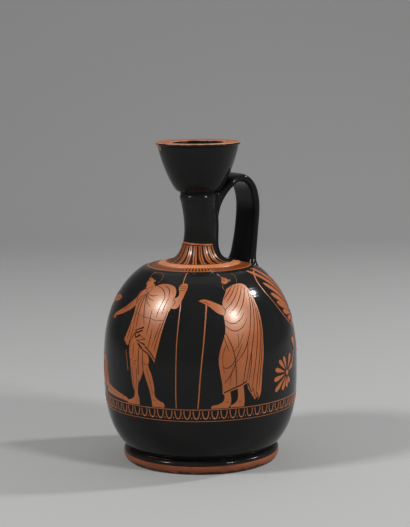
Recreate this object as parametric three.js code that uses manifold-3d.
// Squat lekythos: a one-handled oil flask, thrown in sections on the wheel and luted together.
// Millimetres, +Z up. The origin is the centre of the foot's resting face, and the handle is on +X.

import * as THREE from "three";
import { mergeVertices } from "three/addons/utils/BufferGeometryUtils.js";
import Module from "manifold-3d";

const wasm = await Module();
wasm.setup();

// Foot ring: a lower and an upper degree, parted by a fine groove, and hollow underneath
const FOOT_HEIGHT = 8.4;
const FOOT_LOWER_HEIGHT = 5.7;
const FOOT_PROJECTION = 2.9;
const FOOT_BOTTOM_INSET = 2;
const FOOT_LOWER_SWELL = 0.4;
const FOOT_LEDGE = 0.6;
const FOOT_SEAT_WIDTH = 12.7;
const FOOT_HOLLOW_SLOPE = 3;
const FOOT_GROOVE_DEPTH = 0.7;
const FOOT_GROOVE_WIDTH = 0.5;

// Body: an ovoid whose lower and upper halves are quarter ovals, closed by a flatter shoulder
const BODY_BASE_RADIUS = 48.7;
const BODY_HEIGHT = 118.9;
const BELLY_RADIUS = 64;
const BELLY_RISE = 53;
const LOWER_FULLNESS = 2.9;
const UPPER_FULLNESS = 2.45;
const SHOULDER_RADIUS = 38;
const SHOULDER_RISE = 2.4;
const SHOULDER_END_SLOPE = 0.18;
const SHOULDER_BEND_SHARE = 0.65;
const BODY_WALL = 4;
const BODY_FLOOR = 5;

// Seat of the neck, let into the top of the shoulder round the body's opening
const COLLAR_RADIUS = 27.6;
const COLLAR_SEAT_DEPTH = 2.4;
const COLLAR_SEAT_WALL = 3.6;
const BODY_OPENING_RADIUS = 15;

// Neck: a sloping ring at the foot, a trumpet flare and a slender stem that bows towards the handle
const NECK_HEIGHT = 47;
const NECK_RING_WIDTH = 5.2;
const NECK_RING_RISE = 1.3;
const NECK_RING_ROUNDING = 0.8;
const NECK_WAIST_RADIUS = 11.4;
const NECK_WAIST_RISE = 22.7;
const NECK_TOP_RADIUS = 12;
const NECK_WALL = 3.9;
const NECK_THROAT_RISE = 8.5;
const NECK_BOW = 2;
const FLARE_SWEEP = 0.78;
const FLARE_LIFT = 0.05;
const FLARE_DROP = 0.66;
const FLARE_TUCK = 0.03;

// Mouth: a deep convex funnel with a thin projecting lip, flat on top
const MOUTH_HEIGHT = 32.1;
const MOUTH_OVERHANG = 2.2;
const MOUTH_CUP_RADIUS = 26.4;
const MOUTH_FULLNESS = 1.26;
const MOUTH_STEP_POWER = 1.3;
const MOUTH_WALL = 3.6;
const MOUTH_RIM_WALL = 8.4;
const MOUTH_FLOOR = 5;
const MOUTH_FLOOR_FALL = 2;
const LIP_PROJECTION = 1.2;
const LIP_THICKNESS = 2.2;
const LIP_WIDTH = 10.4;
const LIP_ROUNDING = 0.5;

// Handle: a pulled strap from the neck, under the mouth, down to the shoulder
const HANDLE_WIDTH = 22.4;
const HANDLE_THICKNESS = 5.4;
const HANDLE_EDGE_RADIUS = 2.5;
const HANDLE_NECK_DROP = 4.1;
const HANDLE_CROWN_RISE = 11.1;
const HANDLE_CROWN_RADIUS = 27.8;
const HANDLE_REACH = 37.9;
const HANDLE_REACH_DROP = 13.3;
const HANDLE_COLLAR_GAP = 3.1;
const HANDLE_BURY = 6;
const HANDLE_ROOT_SPREAD = 0.18;
const HANDLE_SPREAD_LENGTH = 28;
const HANDLE_NECK_TAPER = 0.14;

// Shares of the strap's rises and runs at which its middle line is steered
const ARCH_START = { run: 0.27, rise: 0.4 };
const ARCH_HIGH = { run: 0.6, rise: 0.81 };
const BEND_HIGH = { turn: 0.6, fall: 0.2 };
const BEND_LOW = { turn: 0.9, fall: 0.52 };
const LEG_MIDDLE = { lean: 0.62, drop: 0.5 };

// Luting: the rings of clay slip that join the sections, and the pads under the handle's ends
const SLIP_THICKNESS = 0.6;
const SLIP_SETBACK = 0.9;
const ROOT_PAD_MARGIN = 1.4;
const ROOT_PAD_THICKNESS = 0.8;
const CLEARANCE = 0.3;

// Fineness of the round surfaces
const TURN_SEGMENTS = 48;
const OVAL_STEPS = 8;
const SHOULDER_STEPS = 3;
const FLARE_STEPS = 7;
const STEM_STEPS = 4;
const MOUTH_STEPS = 6;
const BEAD_STEPS = 3;
const HANDLE_STEPS = 26;
const HANDLE_EDGE_STEPS = 2;

// Heights that follow from the sizes above
const bodyBase = FOOT_HEIGHT + SLIP_THICKNESS;
const bellyHeight = bodyBase + BELLY_RISE;
const shoulderEdge = bodyBase + BODY_HEIGHT;
const shoulderTop = shoulderEdge + SHOULDER_RISE;
const collarSeat = shoulderTop - COLLAR_SEAT_DEPTH;
const neckBase = collarSeat + SLIP_THICKNESS;
const flareFoot = shoulderTop + NECK_RING_RISE;
const neckTop = shoulderTop + NECK_HEIGHT;
const mouthBase = neckTop + SLIP_THICKNESS;
const rimHeight = mouthBase + MOUTH_HEIGHT;
const lipUnderside = rimHeight - LIP_THICKNESS;

// Radii that follow from the sizes above
const footRadius = BODY_BASE_RADIUS + FOOT_PROJECTION;
const footHollowRadius = BODY_BASE_RADIUS - FOOT_SEAT_WIDTH;
const ringRadius = COLLAR_RADIUS - CLEARANCE;
const boreRadius = NECK_WAIST_RADIUS - NECK_WALL;
const mouthSlipRadius = NECK_TOP_RADIUS + SLIP_SETBACK / 2;
const mouthBaseRadius = NECK_TOP_RADIUS + MOUTH_OVERHANG;
const lipRadius = MOUTH_CUP_RADIUS + LIP_PROJECTION;
const strapFootRadius = COLLAR_RADIUS + HANDLE_COLLAR_GAP + HANDLE_THICKNESS / 2;

const black = { color: 0x161615, roughness: 0.22, metalness: 0 };
const clay = { color: 0x9e5b38, roughness: 0.45, metalness: 0 };
const vase = new THREE.Group();

/** A point of a turned profile: distance from the axis and height. */
function at(radius, height) {
  return new THREE.Vector2(radius, height);
}

/** Points along a plane curve, without its first one where the curve before it ends there. */
function along(curve, steps, skipFirst = false) {
  return curve.getPoints(steps).slice(skipFirst ? 1 : 0);
}

/** Closed mesh data of a geometry: merged corners, and no triangle that has shrunk to a line. */
function weld(geometry) {
  geometry.deleteAttribute("normal");
  geometry.deleteAttribute("uv");
  const merged = mergeVertices(geometry, 1e-4);
  const corners = merged.index.array;
  const kept = [];
  for (let i = 0; i < corners.length; i += 3) {
    const [a, b, c] = [corners[i], corners[i + 1], corners[i + 2]];
    if (a !== b && b !== c && c !== a) kept.push(a, b, c);
  }
  merged.setIndex(kept);
  return merged;
}

/** Solid turned on the wheel from a profile that runs up the outside and down the inside. */
function turned(profile) {
  const geometry = new THREE.LatheGeometry(profile, TURN_SEGMENTS);
  return weld(geometry.rotateX(Math.PI / 2));
}

/** The neck's turned shape, bowed a little towards the handle between its two ends. */
function bowed(geometry) {
  const places = geometry.attributes.position;
  for (let i = 0; i < places.count; i += 1) {
    const share = (places.getZ(i) - shoulderTop) / NECK_HEIGHT;
    const bow = Math.sin(Math.PI * THREE.MathUtils.clamp(share, 0, 1)) ** 2;
    places.setX(i, places.getX(i) + NECK_BOW * bow);
  }
  return geometry;
}

/** The geometry as a solid that can be joined and cut. */
function toSolid(geometry) {
  const vertProperties = new Float32Array(geometry.attributes.position.array);
  const triVerts = new Uint32Array(geometry.index.array);
  return new wasm.Manifold(new wasm.Mesh({ numProp: 3, vertProperties, triVerts }));
}

/** The cut solid as a geometry again. */
function toGeometry(solid) {
  const mesh = solid.getMesh();
  const geometry = new THREE.BufferGeometry();
  geometry.setAttribute("position", new THREE.BufferAttribute(mesh.vertProperties, 3));
  geometry.setIndex(new THREE.BufferAttribute(mesh.triVerts, 1));
  return geometry;
}

/** Puts a named piece into the vase. */
function addPiece(name, geometry, finish) {
  geometry.computeVertexNormals();
  const piece = new THREE.Mesh(geometry, new THREE.MeshStandardMaterial(finish));
  piece.name = name;
  vase.add(piece);
}

/** A profile moved sideways by a distance, outwards where it runs upwards. */
function offset(profile, distance) {
  return profile.map((point, i) => {
    const before = profile[Math.max(i - 1, 0)];
    const after = profile[Math.min(i + 1, profile.length - 1)];
    const run = after.clone().sub(before).normalize();
    return at(point.x + run.y * distance, point.y - run.x * distance);
  });
}

/** Radius of a rising profile at a height. */
function radiusAt(profile, height) {
  const i = Math.max(1, profile.findIndex((point) => point.y >= height));
  const [low, high] = [profile[i - 1], profile[i]];
  const share = (height - low.y) / (high.y - low.y);
  return THREE.MathUtils.lerp(low.x, high.x, share);
}

/** Height of a profile that narrows towards its top, at a radius near that top. */
function heightAt(profile, radius) {
  const i = profile.findLastIndex((point) => point.x >= radius);
  const [wide, narrow] = [profile[i], profile[Math.min(i + 1, profile.length - 1)]];
  const share = (wide.x - radius) / Math.max(wide.x - narrow.x, CLEARANCE);
  return THREE.MathUtils.lerp(wide.y, narrow.y, share);
}

/** The stretch of a rising profile between two heights, with a point on each of them. */
function between(profile, low, high) {
  const inner = profile.filter((point) => point.y > low + CLEARANCE && point.y < high - CLEARANCE);
  return [at(radiusAt(profile, low), low), ...inner, at(radiusAt(profile, high), high)];
}

/** Turned shape of everything inside a profile, from the axis at its foot to the axis at its top. */
function filled(profile) {
  const first = profile[0];
  const last = profile[profile.length - 1];
  return turned([at(0, first.y), ...profile, at(0, last.y)]);
}

/** Quarter oval from the belly to an end point, above or below it. */
function quarterOval(endRadius, endHeight, fullness) {
  const power = 2 / fullness;
  const endAngle = Math.acos((endRadius / BELLY_RADIUS) ** (1 / power));
  const reach = (endHeight - bellyHeight) / Math.sin(endAngle) ** power;
  const points = [];
  for (let step = 0; step <= OVAL_STEPS; step += 1) {
    const angle = (endAngle * step) / OVAL_STEPS;
    const radius = BELLY_RADIUS * Math.cos(angle) ** power;
    points.push(at(radius, bellyHeight + reach * Math.sin(angle) ** power));
  }
  return points;
}

/** The body's outside from its base to the collar: two quarter ovals and the flatter shoulder. */
function bodyOutside() {
  const lower = quarterOval(BODY_BASE_RADIUS, bodyBase, LOWER_FULLNESS).reverse();
  const upper = quarterOval(SHOULDER_RADIUS, shoulderEdge, UPPER_FULLNESS);
  const edge = upper[upper.length - 1];
  const end = at(COLLAR_RADIUS, shoulderTop);
  const turn = THREE.MathUtils.lerp(end.x, edge.x, SHOULDER_BEND_SHARE);
  const bend = at(turn, end.y - SHOULDER_END_SLOPE * (turn - end.x));
  const shoulder = along(new THREE.QuadraticBezierCurve(edge, bend, end), SHOULDER_STEPS, true);
  return [...lower, ...upper.slice(1), ...shoulder];
}

/** The neck's outside from the inner edge of its ring to the top: flare, waist and stem. */
function neckOutside() {
  const foot = at(ringRadius - NECK_RING_WIDTH, flareFoot);
  const waist = at(NECK_WAIST_RADIUS, shoulderTop + NECK_WAIST_RISE);
  const rise = waist.y - foot.y;
  const inward = foot.x - waist.x;
  const flare = new THREE.CubicBezierCurve(
    foot,
    at(foot.x - FLARE_SWEEP * inward, foot.y + FLARE_LIFT * rise),
    at(waist.x - FLARE_TUCK * inward, waist.y - FLARE_DROP * rise),
    waist,
  );
  const top = at(NECK_TOP_RADIUS, neckTop);
  const stem = new THREE.QuadraticBezierCurve(waist, at(waist.x, (waist.y + top.y) / 2), top);
  return [...along(flare, FLARE_STEPS), ...along(stem, STEM_STEPS, true)];
}

/** The mouth's outside from its base to the underside of the lip: a convex funnel. */
function mouthOutside() {
  const height = lipUnderside - mouthBase;
  const points = [];
  for (let step = 0; step <= MOUTH_STEPS; step += 1) {
    const share = (step / MOUTH_STEPS) ** MOUTH_STEP_POWER;
    const swell = (1 - (1 - share) ** MOUTH_FULLNESS) ** (1 / MOUTH_FULLNESS);
    const radius = THREE.MathUtils.lerp(mouthBaseRadius, MOUTH_CUP_RADIUS, swell);
    points.push(at(radius, mouthBase + share * height));
  }
  return points;
}

/** The mouth's inside from its floor to a height under the lip: its wall thickens upwards. */
function mouthInside(outside, floor, top) {
  return between(outside, floor, top).map((point) => {
    const share = (point.y - floor) / (top - floor);
    return at(point.x - THREE.MathUtils.lerp(MOUTH_WALL, MOUTH_RIM_WALL, share), point.y);
  });
}

/** The foot: a ring of two rounded degrees with a flat seat on top. */
function buildFoot() {
  const lower = new THREE.QuadraticBezierCurve(
    at(footRadius - FOOT_BOTTOM_INSET, 0),
    at(footRadius + FOOT_LOWER_SWELL, FOOT_LOWER_HEIGHT / 2),
    at(footRadius, FOOT_LOWER_HEIGHT - FOOT_GROOVE_WIDTH),
  );
  const upper = new THREE.QuadraticBezierCurve(
    at(footRadius, FOOT_LOWER_HEIGHT + FOOT_GROOVE_WIDTH),
    at(footRadius, FOOT_HEIGHT),
    at(BODY_BASE_RADIUS + FOOT_LEDGE, FOOT_HEIGHT),
  );
  const hollowEdge = at(footHollowRadius + FOOT_HOLLOW_SLOPE, 0);
  const profile = [
    hollowEdge,
    ...along(lower, BEAD_STEPS + 1),
    at(footRadius - FOOT_GROOVE_DEPTH, FOOT_LOWER_HEIGHT),
    ...along(upper, BEAD_STEPS),
    at(footHollowRadius, FOOT_HEIGHT),
    hollowEdge,
  ];
  addPiece("foot", turned(profile), clay);
}

/** The body: floor, wall, shoulder, and the seat let in round the opening. */
function buildBody() {
  const outside = bodyOutside();
  const floor = bodyBase + BODY_FLOOR;
  const ceiling = collarSeat - COLLAR_SEAT_WALL;
  const hollow = between(offset(outside, -BODY_WALL), floor, ceiling);
  const profile = [
    at(0, bodyBase),
    ...outside,
    at(COLLAR_RADIUS, collarSeat),
    at(BODY_OPENING_RADIUS, collarSeat),
    at(BODY_OPENING_RADIUS, ceiling),
    ...hollow.reverse(),
    at(0, floor),
  ];
  addPiece("body", turned(profile), black);
}

/** The neck: the ring on its seat, the flare and the stem, bored right through. */
function buildNeck() {
  const outside = neckOutside();
  const ring = new THREE.CubicBezierCurve(
    at(ringRadius, shoulderTop),
    at(ringRadius, shoulderTop + NECK_RING_ROUNDING),
    at(ringRadius - NECK_RING_WIDTH / 2, flareFoot - NECK_RING_RISE / 3),
    outside[0],
  );
  const throatTop = at(boreRadius, neckBase + NECK_THROAT_RISE);
  const bore = new THREE.LineCurve(at(boreRadius, neckTop), throatTop);
  const throat = new THREE.QuadraticBezierCurve(
    throatTop,
    at(boreRadius, neckBase + NECK_THROAT_RISE / 2),
    at(BODY_OPENING_RADIUS, neckBase),
  );
  const profile = [
    at(BODY_OPENING_RADIUS, neckBase),
    at(ringRadius, neckBase),
    ...along(ring, BEAD_STEPS + 2),
    ...outside.slice(1),
    ...along(bore, STEM_STEPS + 2),
    ...along(throat, BEAD_STEPS + 1, true),
  ];
  addPiece("neck", bowed(turned(profile)), black);
}

/** The mouth: funnel and lip outside, and inside a cup that drains into the neck. */
function buildMouth() {
  const outside = mouthOutside();
  const cupFloor = mouthBase + MOUTH_FLOOR;
  const cup = mouthInside(outside, cupFloor, lipUnderside - LIP_THICKNESS);
  const profile = [
    at(boreRadius, mouthBase),
    ...outside,
    at(lipRadius - LIP_ROUNDING, lipUnderside),
    at(lipRadius, lipUnderside + LIP_THICKNESS / 2),
    at(lipRadius - LIP_ROUNDING, rimHeight),
    at(lipRadius - LIP_WIDTH, rimHeight - LIP_ROUNDING),
    ...cup.reverse(),
    at(boreRadius, cupFloor - MOUTH_FLOOR_FALL),
    at(boreRadius, mouthBase),
  ];
  addPiece("mouth", turned(profile), black);
}

/** A flat ring of slip between two sections. */
function buildSlip(name, innerRadius, outerRadius, height) {
  const top = height + SLIP_THICKNESS;
  const profile = [
    at(innerRadius, height),
    at(outerRadius, height),
    at(outerRadius, top),
    at(innerRadius, top),
    at(innerRadius, height),
  ];
  addPiece(name, turned(profile), clay);
}

/** Outline of the strap across its run: a bar with rounded edges. */
function strapSection(extra) {
  const halfWidth = HANDLE_WIDTH / 2 + extra;
  const halfThickness = HANDLE_THICKNESS / 2 + extra;
  const edge = Math.min(HANDLE_EDGE_RADIUS + extra, 0.95 * halfThickness);
  const section = new THREE.Shape();
  section.moveTo(halfWidth - edge, -halfThickness);
  section.absarc(halfWidth - edge, edge - halfThickness, edge, -Math.PI / 2, 0);
  section.absarc(halfWidth - edge, halfThickness - edge, edge, 0, Math.PI / 2);
  section.absarc(edge - halfWidth, halfThickness - edge, edge, Math.PI / 2, Math.PI);
  section.absarc(edge - halfWidth, edge - halfThickness, edge, Math.PI, 1.5 * Math.PI);
  return section;
}

/** Middle line of the strap, from inside the neck to inside the shoulder. */
function strapPath(shoulderHeight) {
  const rootHeight = neckTop - HANDLE_NECK_DROP;
  const rootRadius = radiusAt(neckOutside(), rootHeight);
  const crown = neckTop + HANDLE_CROWN_RISE - HANDLE_THICKNESS / 2;
  const reachHeight = neckTop - HANDLE_REACH_DROP;
  const rise = crown - rootHeight;
  const run = HANDLE_CROWN_RADIUS - rootRadius;
  const turn = HANDLE_REACH - HANDLE_CROWN_RADIUS;
  const fall = crown - reachHeight;
  const drop = reachHeight - shoulderHeight;
  const lean = HANDLE_REACH - strapFootRadius;
  const stations = [
    at(rootRadius - HANDLE_BURY, rootHeight - HANDLE_BURY),
    at(rootRadius, rootHeight),
    at(rootRadius + ARCH_START.run * run, rootHeight + ARCH_START.rise * rise),
    at(rootRadius + ARCH_HIGH.run * run, rootHeight + ARCH_HIGH.rise * rise),
    at(HANDLE_CROWN_RADIUS, crown),
    at(HANDLE_CROWN_RADIUS + BEND_HIGH.turn * turn, crown - BEND_HIGH.fall * fall),
    at(HANDLE_CROWN_RADIUS + BEND_LOW.turn * turn, crown - BEND_LOW.fall * fall),
    at(HANDLE_REACH, reachHeight),
    at(strapFootRadius + LEG_MIDDLE.lean * lean, shoulderHeight + LEG_MIDDLE.drop * drop),
    at(strapFootRadius, shoulderHeight),
    at(strapFootRadius, shoulderHeight - HANDLE_BURY),
  ];
  return new THREE.CatmullRomCurve3(stations.map((point) => new THREE.Vector3(point.x, 0, point.y)));
}

/** The strap as a solid, thicker all round by an extra: narrow at the neck, spread at the shoulder. */
function strap(extra, shoulderHeight) {
  const geometry = new THREE.ExtrudeGeometry(strapSection(extra), {
    steps: HANDLE_STEPS,
    curveSegments: HANDLE_EDGE_STEPS,
    bevelEnabled: false,
    extrudePath: strapPath(shoulderHeight),
  });
  const places = geometry.attributes.position;
  for (let i = 0; i < places.count; i += 1) {
    const above = (places.getZ(i) - shoulderHeight) / HANDLE_SPREAD_LENGTH;
    const inward = (HANDLE_CROWN_RADIUS - places.getX(i)) / (HANDLE_CROWN_RADIUS - NECK_TOP_RADIUS);
    const spread = HANDLE_ROOT_SPREAD * THREE.MathUtils.clamp(1 - above, 0, 1) ** 2;
    const taper = HANDLE_NECK_TAPER * THREE.MathUtils.clamp(inward, 0, 1);
    places.setY(i, places.getY(i) * (1 + spread - taper));
  }
  return toSolid(weld(geometry));
}

/** The handle, and the pads of slip that bed its two ends on the neck and on the shoulder. */
function buildHandle() {
  const outside = bodyOutside();
  const shoulderHeight = heightAt(outside, strapFootRadius);
  const neck = neckOutside();
  const mouth = offset(mouthOutside(), CLEARANCE).slice(1);
  const cupFoot = at(mouthBaseRadius + CLEARANCE, mouthBase - CLEARANCE);
  const clearMouth = toSolid(filled([cupFoot, ...mouth]));
  const bodyGrown = (by) => toSolid(filled(offset(outside, by)));
  const neckGrown = (by) => {
    const stem = offset(neck, by).slice(0, -1);
    const slipFoot = at(mouthSlipRadius + by, neckTop - CLEARANCE);
    const slipTop = at(mouthSlipRadius + by, mouthBase);
    return toSolid(bowed(filled([...stem, slipFoot, slipTop])));
  };
  const padTop = CLEARANCE + ROOT_PAD_THICKNESS;
  const handleFoot = padTop + CLEARANCE;
  const clearOfPads = neckGrown(handleFoot).add(bodyGrown(handleFoot)).add(clearMouth);
  addPiece("handle", toGeometry(strap(0, shoulderHeight).subtract(clearOfPads)), black);

  const wideStrap = strap(ROOT_PAD_MARGIN, shoulderHeight);
  const clearOfVase = neckGrown(CLEARANCE).add(bodyGrown(CLEARANCE)).add(clearMouth);
  const upperPad = wideStrap.intersect(neckGrown(padTop)).subtract(clearOfVase);
  addPiece("handle_upper_luting", toGeometry(upperPad), black);
  const lowerPad = wideStrap.intersect(bodyGrown(padTop)).subtract(clearOfVase);
  addPiece("handle_lower_luting", toGeometry(lowerPad), black);
}

buildFoot();
buildSlip("foot_luting", footHollowRadius + SLIP_SETBACK, BODY_BASE_RADIUS - SLIP_SETBACK, FOOT_HEIGHT);
buildBody();
buildSlip("neck_luting", BODY_OPENING_RADIUS + SLIP_SETBACK, COLLAR_RADIUS - SLIP_SETBACK, collarSeat);
buildNeck();
buildSlip("mouth_luting", boreRadius + SLIP_SETBACK, mouthSlipRadius, neckTop);
buildMouth();
buildHandle();

export default vase;
